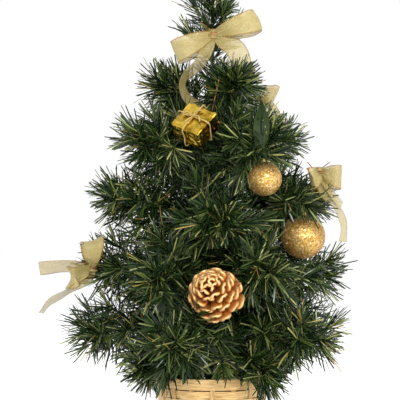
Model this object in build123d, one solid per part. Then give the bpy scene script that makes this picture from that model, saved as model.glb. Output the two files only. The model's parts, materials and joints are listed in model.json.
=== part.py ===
from build123d import *
from collections import namedtuple
import math
import os

# Tabletop tree in a woven basket. Millimetres and degrees. The origin is the
# centre of the basket's foot, +Z is up, and the decorated side faces -Y.

# Overall
TREE_HEIGHT = 450.0
POLE_TOP = 344.0

# Basket
BASKET_HEIGHT = 85.0
FOOT_RADIUS = 40.5          # middle of the stakes at the foot
RIM_RADIUS = 49.2           # middle of the stakes at the rim
STAKE_COUNT = 16
STAKE_WIDTH = 4.0
STAKE_THICKNESS = 1.2
STAKE_BOTTOM = 1.5
STAKE_TOP = BASKET_HEIGHT - 1.0
WEAVER_THICKNESS = 0.8
WEAVER_ROWS = 9
WEAVER_BOTTOM = 7.6
WEAVER_PITCH = 7.45
WEAVER_HEIGHT = 7.0
HOOP_THICKNESS = 1.6
HOOP_HEIGHT = 9.6
FOOT_HOOP_HEIGHT = 7.2
FLOOR_RADIUS = FOOT_RADIUS - 0.8
FLOOR_THICKNESS = 2.5
CLEARANCE = 0.15

# Pot and trunk
LINER_WALL = 1.2
LINER_INSET = 2.2           # stakes' middle to the outside of the liner
LINER_TOP = 74.5
PLASTER_TOP = 66.0
POLE_RADIUS = 4.0
POLE_BOTTOM = 10.0
POLE_PLAY = 0.05            # gap round the pole, radially
TAPE_THICKNESS = 0.8

# Branch wires and their needle brushes
WIRE_RADIUS = 0.9
LEG_OFFSET = 6.0            # trunk centre to the bound leg of a branch wire
LEG_LENGTH = 13.0
BINDING_DROP = 3.5          # elbow to the top of the wrap round the legs
BINDING_HEIGHT = 8.0
BINDING_THICKNESS = 1.0
BEND_OFFSET = 4.2           # elbow to the point where the wire bends
BEND_GAP = 0.3
BRUSH_RADIUS = 7.5
BRUSH_SWELL = 30.0
BRUSH_TAPER = 12.0
BRUSH_TIP_RADIUS = 2.5
TWIG_RADIUS = 6.5
TWIG_SWELL = 22.0
LEADER_RADIUS = 9.0

# A ring of branches: height of the roots and of the tips, how far the tips
# reach from the trunk, how many, where the first points, how much neighbouring
# tips rise and fall in turn, and its side twigs.
Tier = namedtuple("Tier", "root_z tip_z reach count first stagger twigs")
# A pair of side twigs: where along the branch, how wide they spread, how long.
Twigs = namedtuple("Twigs", "along spread length")

SHORT_TWIGS = [Twigs(0.42, 33.0, 38.0)]
MIDDLE_TWIGS = [Twigs(0.40, 36.0, 50.0)]
LONG_TWIGS = [Twigs(0.30, 42.0, 58.0), Twigs(0.60, 36.0, 42.0)]

TIERS = [
    Tier(118.0, 90.0, 86.0, 4, 35.0, 0.0, SHORT_TWIGS),
    Tier(144.0, 116.0, 126.0, 5, 180.0, 3.0, LONG_TWIGS),
    Tier(191.0, 174.0, 115.0, 6, 0.0, -4.0, MIDDLE_TWIGS),
    Tier(238.0, 232.0, 103.0, 4, 5.0, 12.0, LONG_TWIGS),
    Tier(286.0, 296.0, 93.0, 4, 35.0, 0.0, MIDDLE_TWIGS),
    Tier(328.0, 350.0, 58.0, 3, 55.0, 0.0, [Twigs(0.35, 34.0, 30.0)]),
]

# Bows
RIBBON_WIDTH = 22.0
RIBBON_THICKNESS = 0.6
TIE_RADIUS = 0.6
KNOT_SIZE = (7.0, 6.0, 7.0)
LOOP_SHARE = 0.8            # how much of the ribbon's width a gathered loop keeps
TAIL_SHARE = 0.7
FRONT = Vector(0, -1, 0)
# Half the thickness of a flattened loop, at shares of its length.
LOOP_PROFILE = [(0.0, 0.8), (0.3, 2.6), (0.6, 3.5), (0.88, 2.4), (1.0, 0.5)]

# A bow: its knot, the tips of its two loops, the far ends of its two tails with
# a point on the way to each, and where its tie wire meets the branch.
Bow = namedtuple("Bow", "knot loops tails anchor")
BOWS = {
    "bow_top": Bow(
        Vector(1, -18, 389),
        [Vector(-38, -24, 376), Vector(38, -22, 402)],
        [(Vector(-18, -28, 360), Vector(-27, -26, 333)), (Vector(12, -29, 376), Vector(21, -34, 361))],
        Vector(0, -9.1, 389)),
    "bow_left": Bow(
        Vector(-100, -14, 186),
        [Vector(-120, -20, 207), Vector(-122, -22, 172)],
        [(Vector(-126, -12, 186), Vector(-153, -14, 181)), (Vector(-122, -20, 165), Vector(-152, -22, 143))],
        Vector(-100, -6.9, 183.4)),
    "bow_right": Bow(
        Vector(88, -17, 262),
        [Vector(106, -20, 274), Vector(110, -22, 257)],
        [(Vector(107, -26, 238), Vector(117, -26, 207)), (Vector(102, -24, 243), Vector(113, -18, 228))],
        Vector(88, -9.5, 252.4)),
    "bow_back": Bow(
        Vector(40, 54, 354),
        [Vector(61, 44, 350), Vector(24, 70, 352)],
        [(Vector(52, 54, 340), Vector(58, 48, 320)), (Vector(40, 66, 342), Vector(44, 68, 324))],
        Vector(33.4, 48.0, 350.4)),
}

# Balls, with the heading and the underside of the twig each hangs from.
Ball = namedtuple("Ball", "centre radius heading twig_underside")
BALLS = {
    "ball_upper": Ball(Vector(45.0, -65.0, 260.0), 15.0, 305.0, 286.6),
    "ball_lower": Ball(Vector(80.0, -30.5, 209.5), 20.0, 323.0, 239.9),
}
BALL_WALL = 1.2
CAP_RADIUS = 4.5
CAP_HEIGHT = 3.5
CAP_SEAT = 0.8              # how much of the ball's crown is cut flat for the cap
RING_RADIUS = 2.0
RING_WIRE = 0.4
RING_SINK = 0.3             # how deep the ring sits in the cap
RING_PLAY = 0.1             # gap between the ring and the hook

# Pinecone
CONE_TIER = TIERS[2]
CONE_TWIG = (5, -1)         # index of the branch and side of the twig that carries it
CONE_NEIGHBOUR = (4, 1)
CONE_BASE = Vector(5.0, -72.0, 156.0)
CONE_TIP = Vector(3.0, -118.0, 161.0)
CONE_CORE_RADIUS = 10.0
CONE_RADIUS = 27.0
CONE_STALK = 6.0
SCALE_RINGS = 6
SCALES_PER_RING = 8
SCALE_WIDTH = 7.0
SCALE_THICKNESS = 1.4
SCALE_ROOTS = [10.3, 10.3, 10.3, 10.3, 7.5, 4.5]    # radius where each ring starts

# Gift box
BOX_CENTRE = Vector(-16.3, -68.5, 304.5)
BOX_RIGHT = Vector(25.2, -15.2, -10.8)      # along its lower edge
BOX_UP = Vector(18.0, 15.2, 20.7)
BOX_SIDE = 30.0
BOX_DEPTH = 20.0
BOX_ROUNDING = 1.5
BOX_WALL = 1.2
CORD_WIDTH = 1.6
CORD_KNOT_RADIUS = 2.4
CORD_PLAY = 0.1
BOX_TIER = TIERS[5]
BOX_TWIG = (2, -1)          # index of the branch and side of the twig it hangs from
BOX_EYE = Vector(6.0, 15.4, -3.0)   # where its wire leaves the box, in the box's own frame

# Leaf
LEAF_TOP = Vector(42, -72, 326)
LEAF_BOTTOM = Vector(41, -82, 284)
LEAF_THICKNESS = 0.6
# Half the width of the leaf, at shares of its length.
LEAF_PROFILE = [(0.0, 1.5), (0.3, 4.0), (0.7, 6.5), (0.93, 5.0), (1.0, 1.0)]

ORIGIN = Vector(0, 0, 0)
UP = Vector(0, 0, 1)


def polar(radius, azimuth, height):
    """Point at a distance from the trunk, in a direction counted from +X towards +Y."""
    angle = math.radians(azimuth)
    return Vector(radius * math.cos(angle), radius * math.sin(angle), height)


def rod(start, end, radius):
    """Round bar between two points."""
    return Solid.make_cylinder(radius, (end - start).length, Plane(start, z_dir=end - start))


def turned(points, start, direction):
    """Solid turned from an outline of (radius, distance) points about a line."""
    outline = make_face(Plane.XZ * Polyline(*points, close=True))
    solid = revolve(outline, Axis.Z)
    return Plane(start, z_dir=direction) * solid


def slope_ring(inner, outer, bottom, top):
    """Conical ring that follows the basket's wall, at offsets from the stakes' middle."""
    low, high = stake_radius(bottom), stake_radius(top)
    corners = [(low + inner, bottom), (low + outer, bottom), (high + outer, top), (high + inner, top)]
    return turned(corners, ORIGIN, UP)


def stake_radius(height):
    return FOOT_RADIUS + (RIM_RADIUS - FOOT_RADIUS) * height / BASKET_HEIGHT


# ---------------------------------------------------------------- basket

def basket_stakes():
    """Flat upright strips, leaning outwards with the wall."""
    stakes = []
    for number in range(STAKE_COUNT):
        azimuth = 360.0 * number / STAKE_COUNT
        low = polar(stake_radius(STAKE_BOTTOM), azimuth, STAKE_BOTTOM)
        high = polar(stake_radius(STAKE_TOP), azimuth, STAKE_TOP)
        across = polar(1.0, azimuth + 90.0, 0.0)
        face_out = across.cross(high - low)
        strip = Box(STAKE_THICKNESS, STAKE_WIDTH, (high - low).length)
        stakes.append(Plane((low + high) / 2, x_dir=face_out, z_dir=high - low) * strip)
    return stakes


def weaver_ring(row):
    """One strip woven in front of and behind the stakes in turn."""
    swing = (STAKE_THICKNESS + WEAVER_THICKNESS) / 2 + 2 * CLEARANCE
    phase = 1 if row % 2 else -1
    bottom = WEAVER_BOTTOM + row * WEAVER_PITCH
    points_round = 4 * STAKE_COUNT

    def outline(height, offset):
        points = []
        for step in range(points_round):
            azimuth = 360.0 * step / points_round
            wave = phase * swing * math.cos(math.radians(azimuth * STAKE_COUNT / 2))
            points.append(polar(stake_radius(height) + wave + offset, azimuth, height))
        return Wire([Edge.make_spline(points, periodic=True)])

    half = WEAVER_THICKNESS / 2
    levels = (bottom, bottom + WEAVER_HEIGHT)
    outer = Solid.make_loft([outline(level, half) for level in levels], True)
    inner = Solid.make_loft([outline(level, -half) for level in levels], True)
    return outer - inner


def basket():
    half = STAKE_THICKNESS / 2 + CLEARANCE
    hoop_bottom = BASKET_HEIGHT - HOOP_HEIGHT
    return {
        "basket_floor": Solid.make_cylinder(FLOOR_RADIUS, FLOOR_THICKNESS),
        "basket_stakes": basket_stakes(),
        "basket_weavers": [weaver_ring(row) for row in range(WEAVER_ROWS)],
        "basket_foot_hoop": slope_ring(half, half + HOOP_THICKNESS, 0.0, FOOT_HOOP_HEIGHT),
        "basket_rim_outer": slope_ring(half, half + HOOP_THICKNESS, hoop_bottom, BASKET_HEIGHT),
        "basket_rim_inner": slope_ring(-half - HOOP_THICKNESS, -half, hoop_bottom, BASKET_HEIGHT),
    }


def pot():
    """Thin cup inside the basket and the plaster cast in it round the pole's foot."""
    base = FLOOR_THICKNESS
    outer_low = stake_radius(base) - LINER_INSET
    outer_high = stake_radius(LINER_TOP) - LINER_INSET
    cup = turned(
        [(0, base), (outer_low, base), (outer_high, LINER_TOP), (outer_high - LINER_WALL, LINER_TOP),
         (outer_low - LINER_WALL, base + LINER_WALL), (0, base + LINER_WALL)],
        ORIGIN, UP)
    bottom = base + LINER_WALL + CLEARANCE
    inset = LINER_INSET + LINER_WALL + CLEARANCE
    low, high = stake_radius(bottom) - inset, stake_radius(PLASTER_TOP) - inset
    bore = POLE_RADIUS + POLE_PLAY
    bore_bottom = POLE_BOTTOM - POLE_PLAY
    plaster = turned(
        [(0, bottom), (low, bottom), (high, PLASTER_TOP), (bore, PLASTER_TOP), (bore, bore_bottom),
         (0, bore_bottom)],
        ORIGIN, UP)
    return {"pot_liner": cup, "plaster_weight": plaster}


# ---------------------------------------------------------------- trunk and branches

def branch_line(tier, index):
    """Elbow, direction and tip of a branch wire."""
    azimuth = tier.first + 360.0 * index / tier.count
    rise = tier.stagger if index % 2 == 0 else -tier.stagger
    elbow = polar(LEG_OFFSET, azimuth, tier.root_z)
    tip = polar(tier.reach, azimuth, tier.tip_z + rise)
    return elbow, (tip - elbow).normalized(), tip


def bend_point(tier, index):
    """Where a branch wire bends, just outside the binding."""
    elbow, direction, tip = branch_line(tier, index)
    return elbow + direction * BEND_OFFSET


def brush(start, end, radius, swell):
    """Outer shape of the needles round one wire."""
    length = (end - start).length
    swell = min(swell, 0.5 * length)
    taper = min(BRUSH_TAPER, 0.3 * length)
    outline = [(0, 0), (WIRE_RADIUS, 0), (radius, swell), (radius, length - taper),
               (BRUSH_TIP_RADIUS, length), (0, length)]
    return turned(outline, start, end - start)


def twig_line(tier, index, twigs, side):
    """Start and end of a side twig."""
    elbow, direction, tip = branch_line(tier, index)
    start = elbow + (tip - elbow) * twigs.along
    heading = direction.rotate(Axis.Z, side * twigs.spread)
    length = twigs.length * (0.5 if cut_short(tier, index, side) else 1.0)
    return start, start + heading * length


def cut_short(tier, index, side):
    """The two twigs beside the pinecone end behind it: one carries it, one clears it."""
    return tier is CONE_TIER and (index, side) in (CONE_TWIG, CONE_NEIGHBOUR)


def twig_brush(tier, index, twigs, side):
    root, end = twig_line(tier, index, twigs, side)
    return brush(root, end, TWIG_RADIUS, TWIG_SWELL)


def hanging_wire(tier, twig, points):
    """Bent wire from the tip of a side twig through points."""
    index, side = twig
    tip = twig_line(tier, index, tier.twigs[0], side)[1]
    path = [tip] + points
    wire = rod(path[0], path[1], TIE_RADIUS)
    for start, end in zip(path[1:], path[2:]):
        wire += Pos(*start) * Sphere(TIE_RADIUS)
        wire += rod(start, end, TIE_RADIUS)
    return wire - twig_brush(tier, index, tier.twigs[0], side)


def branch(tier, index):
    elbow, direction, tip = branch_line(tier, index)
    start = elbow + direction * (BEND_OFFSET + BEND_GAP / 2)
    main = brush(start, tip, BRUSH_RADIUS, BRUSH_SWELL)
    solids = [main]
    for twigs in tier.twigs:
        for side in (-1, 1):
            solids.append(twig_brush(tier, index, twigs, side) - main)
    return solids


def root_ends():
    """Fixed wire ends of the branches: a leg along the trunk and an elbow outwards."""
    solids = []
    for tier in TIERS:
        for index in range(tier.count):
            elbow, direction, tip = branch_line(tier, index)
            foot = elbow - Vector(0, 0, LEG_LENGTH)
            bend = elbow + direction * (BEND_OFFSET - BEND_GAP / 2)
            knee = Pos(*elbow) * Sphere(WIRE_RADIUS)
            solids.append(rod(foot, elbow, WIRE_RADIUS) + knee + rod(elbow, bend, WIRE_RADIUS))
    return solids


def bindings():
    """A wrap round the wire legs under each ring of branches."""
    inner = LEG_OFFSET + WIRE_RADIUS + CLEARANCE
    outer = inner + BINDING_THICKNESS
    rings = []
    for tier in TIERS:
        top = tier.root_z - BINDING_DROP
        bottom = top - BINDING_HEIGHT
        rings.append(turned([(inner, bottom), (outer, bottom), (outer, top), (inner, top)], ORIGIN, UP))
    return rings


def trunk():
    inner = POLE_RADIUS + POLE_PLAY
    outer = inner + TAPE_THICKNESS
    bottom = PLASTER_TOP + CLEARANCE
    top = POLE_TOP + TAPE_THICKNESS
    tape = turned([(inner, bottom), (outer, bottom), (outer, top), (inner, top)], ORIGIN, UP)
    return {
        "trunk_pole": rod(Vector(0, 0, POLE_BOTTOM), Vector(0, 0, POLE_TOP), POLE_RADIUS),
        "trunk_tape": tape,
        "branch_root_ends": root_ends(),
        "branch_bindings": bindings(),
    }


def branches():
    nodes = {}
    for level, tier in enumerate(TIERS, start=1):
        for index in range(tier.count):
            nodes[f"branch_{level}_{index + 1}"] = branch(tier, index)
    base = Vector(0, 0, POLE_TOP + TAPE_THICKNESS + BEND_GAP)
    nodes["leader"] = brush(base, Vector(0, 0, TREE_HEIGHT), LEADER_RADIUS, BRUSH_SWELL)
    return nodes


# ---------------------------------------------------------------- decorations

def ribbon_band(path, width_dir, width):
    """Thin band: a smooth path given thickness, then width."""
    normal = width_dir.normalized()
    plane = Plane(path[0], x_dir=path[1] - path[0], z_dir=normal)
    flat = [plane.to_local_coords(point) for point in path]
    curve = Spline(*[(point.X, point.Y) for point in flat])
    half = RIBBON_THICKNESS / 2
    count = 12
    sides = []
    for sign in (1, -1):
        side = []
        for step in range(count + 1):
            at = step / count
            spot, along = curve @ at, (curve % at).normalized()
            side.append((spot.X - sign * half * along.Y, spot.Y + sign * half * along.X))
        sides.append(side)
    outline = make_face(Polyline(*sides[0], *reversed(sides[1]), close=True))
    band = extrude(outline, amount=width / 2, both=True)
    return plane * band


def bow_knot(design):
    return Pos(*design.knot) * Box(*KNOT_SIZE)


def bow_tie(design):
    """Twisted wire from the branch to the knot."""
    return rod(design.anchor, design.knot, TIE_RADIUS) - bow_knot(design)


def bow_loop(start, tip):
    """One loop, closed and flattened: pinched at the knot, fullest past its middle."""
    reach = tip - start
    pad = extrude(profiled(reach.length, LOOP_PROFILE), amount=RIBBON_WIDTH * LOOP_SHARE / 2, both=True)
    return Plane(start, x_dir=reach, z_dir=reach.cross(FRONT)) * pad


def profiled(length, profile):
    """Symmetrical face along X, from half widths at shares of its length."""
    edge = [(length * at, half) for at, half in profile]
    return make_face(Polyline(*edge, *[(at, -half) for at, half in reversed(edge)], close=True))


def bow(design):
    """Two loops seen broadside, two tails and the pinched knot between them."""
    knot = bow_knot(design)
    solids = [knot]
    for tip in design.loops:
        solids.append(bow_loop(design.knot, tip) - knot)
    for middle, end in design.tails:
        across = (end - design.knot).cross(FRONT)
        solids.append(ribbon_band([design.knot, middle, end], across, RIBBON_WIDTH * TAIL_SHARE) - knot)
    return solids


def ring_height(radius):
    """Height of the cap's ring over the ball's centre."""
    return radius - CAP_SEAT + CAP_HEIGHT + RING_RADIUS - RING_SINK


def ball_pivot(centre, radius):
    """Where the cap's ring hangs on the wire hook."""
    return centre + UP * (ring_height(radius) + RING_RADIUS - 2 * RING_WIRE - RING_PLAY)


def ball(design):
    """Hollow ornament ball, its cap with a ring, and the wire hook it hangs from."""
    centre, radius = design.centre, design.radius
    neck = centre + UP * (radius - CAP_SEAT)
    above_neck = Pos(*(neck + UP * radius)) * Box(2 * radius, 2 * radius, 2 * radius)
    shell = Pos(*centre) * Sphere(radius) - above_neck - Pos(*centre) * Sphere(radius - BALL_WALL)
    cap = rod(neck, neck + UP * CAP_HEIGHT, CAP_RADIUS)
    along = polar(1, design.heading, 0)
    across = polar(1, design.heading + 90, 0)
    ring = Plane(centre + UP * ring_height(radius), z_dir=along) * Torus(RING_RADIUS, RING_WIRE)
    hook_centre = ball_pivot(centre, radius) + UP * RING_RADIUS
    hook = Plane(hook_centre, z_dir=across) * Torus(RING_RADIUS, RING_WIRE)
    shank = rod(hook_centre + UP * RING_RADIUS, Vector(centre.X, centre.Y, design.twig_underside), RING_WIRE)
    return shell, cap + ring, hook + shank


def balls():
    nodes = {}
    for name, design in BALLS.items():
        nodes[name], nodes[name + "_cap"], nodes[name + "_hanger"] = ball(design)
    return nodes


def cone_scale(ring, turn, length):
    """One scale: wide reach at the cone's shoulder, closing and tilting towards its tip."""
    share = ring / (SCALE_RINGS - 1)
    height = length * (0.12 + 0.78 * share) - 3.0
    inner = SCALE_ROOTS[ring]
    reach = CONE_RADIUS * math.sin(math.pi * (0.30 + 0.58 * share)) - inner
    tilt = 20.0 + 45.0 * share
    blade = Pos(reach / 2, 0, 0) * Box(reach, SCALE_WIDTH, SCALE_THICKNESS)
    return Pos(0, 0, height) * (Rot(0, 0, turn) * (Pos(inner, 0, 0) * (Rot(0, -tilt, 0) * blade)))


def pinecone():
    """Woody core, rings of scales round it, and the wire to its twig."""
    axis = (CONE_TIP - CONE_BASE).normalized()
    length = (CONE_TIP - CONE_BASE).length
    core = turned(
        [(0, 0), (CONE_CORE_RADIUS * 0.6, 0), (CONE_CORE_RADIUS, length * 0.25),
         (CONE_CORE_RADIUS * 0.8, length * 0.6), (CONE_CORE_RADIUS * 0.2, length * 0.92), (0, length * 0.92)],
        CONE_BASE, axis)
    scales = []
    step = 360.0 / SCALES_PER_RING
    for ring in range(SCALE_RINGS):
        for number in range(SCALES_PER_RING):
            turn = step * (number + 0.5 * (ring % 2))
            scales.append(Plane(CONE_BASE, z_dir=axis) * cone_scale(ring, turn, length))
    stalk = CONE_BASE - axis * CONE_STALK
    wire = hanging_wire(CONE_TIER, CONE_TWIG, [stalk, CONE_BASE])
    return {"cone_core": core, "cone_scales": scales, "cone_wire": wire}


def gift_box():
    """Foil-covered card box tied both ways with a cord, on a wire from a twig."""
    seat = Plane(BOX_CENTRE, x_dir=BOX_RIGHT, z_dir=BOX_RIGHT.cross(BOX_UP))
    block = fillet(Box(BOX_SIDE, BOX_SIDE, BOX_DEPTH).edges(), BOX_ROUNDING)
    hollow = Box(BOX_SIDE - 2 * BOX_WALL, BOX_SIDE - 2 * BOX_WALL, BOX_DEPTH - 2 * BOX_WALL)
    side = BOX_SIDE + 2 * CORD_PLAY
    depth = BOX_DEPTH + 2 * CORD_PLAY
    band = Box(side + CORD_WIDTH, CORD_WIDTH, depth + CORD_WIDTH) - Box(side, 2 * CORD_WIDTH, depth)
    knot = Pos(0, 0, depth / 2 + CORD_WIDTH) * Sphere(CORD_KNOT_RADIUS) - Box(side, side, depth)
    cord = band + Rot(0, 0, 90) * band + knot
    eye = seat.from_local_coords(BOX_EYE)
    wire = hanging_wire(BOX_TIER, BOX_TWIG, [eye]) - seat * block - seat * cord
    return {"gift_box": seat * (block - hollow), "gift_cord": seat * cord, "gift_wire": wire}


def leaf_pick():
    """Broad strip leaf that hangs from a twig, widening downwards."""
    along = LEAF_BOTTOM - LEAF_TOP
    side = along.cross(FRONT)
    blade = extrude(profiled(along.length, LEAF_PROFILE), amount=LEAF_THICKNESS / 2, both=True)
    return {"leaf_pick": Plane(LEAF_TOP, x_dir=along, z_dir=along.cross(side)) * blade}


# ---------------------------------------------------------------- parts

def as_shape(piece):
    if isinstance(piece, (list, tuple)):
        solids = []
        for item in piece:
            solids.extend(item.solids())
        return Compound(solids) if len(solids) > 1 else solids[0]
    return piece


def build():
    nodes = {}
    nodes.update(basket())
    nodes.update(pot())
    nodes.update(trunk())
    nodes.update(branches())
    for name, design in BOWS.items():
        nodes[name] = bow(design)
        nodes[name + "_tie"] = bow_tie(design)
    nodes.update(balls())
    nodes.update(pinecone())
    nodes.update(gift_box())
    nodes.update(leaf_pick())
    return {name: as_shape(piece) for name, piece in nodes.items()}


def main():
    os.makedirs("parts", exist_ok=True)
    for name, shape in build().items():
        export_step(shape, f"parts/{name}.step")


if __name__ == "__main__":
    main()
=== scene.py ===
from collections import namedtuple
import json
import math

import bmesh
import bpy
import numpy as np
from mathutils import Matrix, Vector


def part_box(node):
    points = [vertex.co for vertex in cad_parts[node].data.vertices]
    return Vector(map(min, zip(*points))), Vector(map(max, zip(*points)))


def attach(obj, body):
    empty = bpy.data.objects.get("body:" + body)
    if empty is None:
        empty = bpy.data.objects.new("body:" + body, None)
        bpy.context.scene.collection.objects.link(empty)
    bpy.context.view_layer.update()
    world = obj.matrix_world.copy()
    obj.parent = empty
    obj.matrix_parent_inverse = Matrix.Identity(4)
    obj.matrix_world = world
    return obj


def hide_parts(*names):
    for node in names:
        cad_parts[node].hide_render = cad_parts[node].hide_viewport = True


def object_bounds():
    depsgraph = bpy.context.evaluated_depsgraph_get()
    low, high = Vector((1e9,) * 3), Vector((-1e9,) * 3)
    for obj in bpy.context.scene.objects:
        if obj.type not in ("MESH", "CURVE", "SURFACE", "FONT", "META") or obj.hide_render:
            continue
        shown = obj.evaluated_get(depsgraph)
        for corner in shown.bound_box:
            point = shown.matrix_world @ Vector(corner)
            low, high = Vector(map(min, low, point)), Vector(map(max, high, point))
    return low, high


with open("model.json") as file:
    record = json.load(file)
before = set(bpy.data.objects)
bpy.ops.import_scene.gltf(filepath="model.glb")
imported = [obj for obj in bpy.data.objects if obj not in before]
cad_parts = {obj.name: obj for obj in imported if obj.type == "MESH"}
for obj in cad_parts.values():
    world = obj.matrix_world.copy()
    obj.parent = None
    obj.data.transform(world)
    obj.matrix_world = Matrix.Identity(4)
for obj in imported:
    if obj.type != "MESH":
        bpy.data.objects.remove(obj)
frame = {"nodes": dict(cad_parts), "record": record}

# The looks of a small artificial fir tree in a woven basket. Metres throughout.

MM = 0.001
CAD_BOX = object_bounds()
RECORD = frame["record"]
BODIES = RECORD["behaviour"]["bodies"]
HINGES = {joint["child"]: Vector(joint["pos_m"]) for joint in RECORD["behaviour"]["joints"]}
BODY_OF = {node: body for body, nodes in BODIES.items() for node in nodes}
UP = np.array([0.0, 0.0, 1.0])
FRONT = np.array([0.0, -1.0, 0.0])


# ---------------------------------------------------------------- dimensions

# Needles: size, how many are on a metre of wire, and their degrees from the wire, along it and
# at its tip
NEEDLE_LENGTH = 0.0225
NEEDLE_WIDTH = 0.0013
NEEDLE_THICKNESS = 0.0003
NEEDLES_PER_METRE = 2450
NEEDLE_ANGLES = (66.0, 26.0)
ANGLE_SCATTER = 9.0
NEEDLE_CURVE = 0.14
NEEDLE_DROOP = 0.06
LENGTH_RANGE = (0.78, 1.12)
WIDTH_RANGE = (0.75, 1.15)
TIP_ZONE = 0.018
# The lowest ring's branches come first by name and are fuller
LOWEST_BRANCHES = 4
LOWEST_DENSITY = 1.2
# Shares of pale and tan needles, and their tones on the needles' colour ramp. The pale needles are partly
# yellow-green strands and partly painted glints
PALE_AND_GLINT_SHARE, PALE_AND_GLINT_TONES = 0.09, (0.86, 0.95)
TAN_SHARE, TAN_TONE = 0.015, 0.99
# Ornaments that no needle covers from the front, up to a share of their radius round a centre
# moved left and down by shares of that radius
CLEARED = ("ball_upper", "ball_lower", "gift_box")
CLEAR_SHARE = 0.80
CLEAR_LEFT, CLEAR_DOWN = 0.15, 0.20
# The middle share of the basket's rim where only one needle in so many hangs over it
RIM_SHARE = 0.72
RIM_NEEDLES = 7
# How far needles may pass the CAD box to the front and back
OUTREACH = 0.0155
# Rings of three corners along a needle: the share of its length, and of its width there
NEEDLE_RINGS = ((0.0, 0.8), (0.5, 1.0), (0.93, 0.85))
NEEDLE_CORNERS = 10
# Faces of a needle: between the rings, round its point, and at its root
RING_FACES = [(0, 1, 4, 3), (1, 2, 5, 4), (2, 0, 3, 5), (3, 4, 7, 6), (4, 5, 8, 7), (5, 3, 6, 8),
              (6, 7, 9), (7, 8, 9), (8, 6, 9), (2, 1, 0)]

# Short twigs on every branch: where along it, how steeply up or down, how far sideways, and
# how long as a share of the branch
FILLERS = [
    (0.10, 1.3, 0.3, 0.42), (0.12, -1.1, -0.3, 0.40), (0.22, 0.9, -0.8, 0.44), (0.26, -0.8, 0.8, 0.42),
    (0.36, 0.9, 0.5, 0.40), (0.40, -0.8, -0.6, 0.36), (0.52, 0.8, -0.4, 0.34), (0.56, -0.6, 0.5, 0.30),
    (0.68, 0.6, 0.5, 0.28), (0.74, -0.4, -0.5, 0.24), (0.82, 0.5, -0.4, 0.20),
]
# Twigs round an ornament or over the basket: the node they are placed from, and both ends from
# its centre in millimetres.
EXTRA_TWIGS = {
    "branch_5_4": [("ball_upper", (-8, -14, 26), (-21, -18, 3)),
                   ("ball_upper", (-12, -10, 24), (7, -17, 20))],
    "branch_4_1": [("ball_lower", (-16, -8, 30), (-24, -20, 14)),
                   ("ball_lower", (-6, -10, 36), (2, -22, 27)),
                   ("ball_lower", (-18, -12, 31), (12, -23, 26))],
    "branch_3_1": [("ball_lower", (-26, 8, -34), (6, -16, -36))],
    "branch_1_3": [("plaster_weight", (-26, -40, 74), (-20, -74, 62)),
                   ("plaster_weight", (-30, -30, 76), (-40, -66, 52))],
    "branch_1_4": [("plaster_weight", (12, -44, 76), (8, -80, 66)),
                   ("plaster_weight", (36, -40, 70), (44, -78, 46))],
    "branch_5_3": [("gift_box", (-20, 16, -18), (-16, -12, -18))],
}
# Twigs of the leader: the share of its height, the way they point in degrees, and their length
LEADER_TWIGS = [(0.22, 200, 0.030), (0.30, 20, 0.030), (0.30, 100, 0.028), (0.40, 300, 0.030),
                (0.52, 165, 0.026), (0.60, 40, 0.026), (0.62, 260, 0.024), (0.74, 340, 0.022)]
LEADER_ANGLES = (48.0, 16.0)
# Needles along the trunk
TRUNK_TURNS = 18
TRUNK_ANGLES = (82.0, 60.0)
TRUNK_NEEDLE_LENGTH = 0.024
# Twisted wires: their radii, the turn of the strands on a metre, and how far these stand out
MAIN_WIRE, TWIG_WIRE = 0.0009, 0.0007
WIRE_TWIST = 2 * math.pi / 0.007
WIRE_LOBES = 0.35
LONGEST_FILLER = 0.040
# How far a wire ends short of the tip of its solid, where only needles are
TIP_ROOM = 0.008

# Ribbon
RIBBON_WIDTH = 0.0205
RIBBON_THICKNESS = 0.00016
# Folds where it is pinched: how deep, and their radians across its width
FOLD_DEPTH = 0.0022
FOLD_TURN = 26
# Ripples: radians along a metre of ribbon, and across its whole width
RIPPLES = ((210, 2.5), (90, -4))
# Loops and tails: how far a loop stands out, and the widths from the knot on
LOOP_PUFF = 0.0085
LOOP_WIDTHS = [0.006, 0.015, 0.0205, 0.0205, 0.0205, 0.015, 0.006]
TAIL_WIDTHS = [0.006, 0.013, 0.0195]
# The ribbon round the knot, and the twist wire round that
KNOT_WIDTH = 0.0085
KNOT_RADII = (0.0042, 0.0046)
TIE_RADIUS = 0.0004
TIE_TURNS = 2.5
TIE_GAP = 0.0006

# Bows, in millimetres from the knot. A loop: its tip and the direction of the ribbon's width
# there. A tail: the points it runs through, and how far it is turned edge-on along the way.
Bow = namedtuple("Bow", "loops tails")
BOWS = {
    "bow_top": Bow(
        [((-33, -6, -16), (-0.30, 0, 0.95)), ((38, -4, 12), (-0.36, 0, 0.93))],
        [([(-6, -6, -14), (-13, -9, -27), (-25, -10, -38), (-28, -9, -48), (-22, -9, -59),
           (-9, -10, -65)], 1.2),
         ([(9, -7, -8), (17, -10, -12), (22, -12, -19), (25, -13, -28)], 0.45)]),
    "bow_left": Bow(
        [((2, -7, 24), (0.95, 0, 0.30)), ((-18, -8, -9), (0.2, -0.5, 0.84))],
        [([(-12, -1, 0), (-28, 1, 1), (-47, 0, -1)], 0.88),
         ([(-3, -4, -9), (-20, -7, -20), (-36, -8, -30), (-45, -8, -40)], 1.3)]),
    "bow_right": Bow(
        [((18, -4, -5), (0.05, 0, 1.0)), ((-9, -8, -7), (-0.1, 0, 0.99))],
        [([(4, -6, -18), (13, -8, -30), (20, -9, -46), (19, -9, -62)], 1.15),
         ([(6, -4, -12), (12, -4, -22), (19, -2, -31)], 1.2)]),
    "bow_back": Bow(
        [((18, -9, -5), (0.3, 0.2, 0.9)), ((-15, 14, -2), (0.3, 0.2, 0.9))],
        [([(7, -2, -9), (12, -3, -19), (16, -6, -29)], 0.4), ([(1, 8, -10), (4, 13, -28)], 0.4)]),
}

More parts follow.
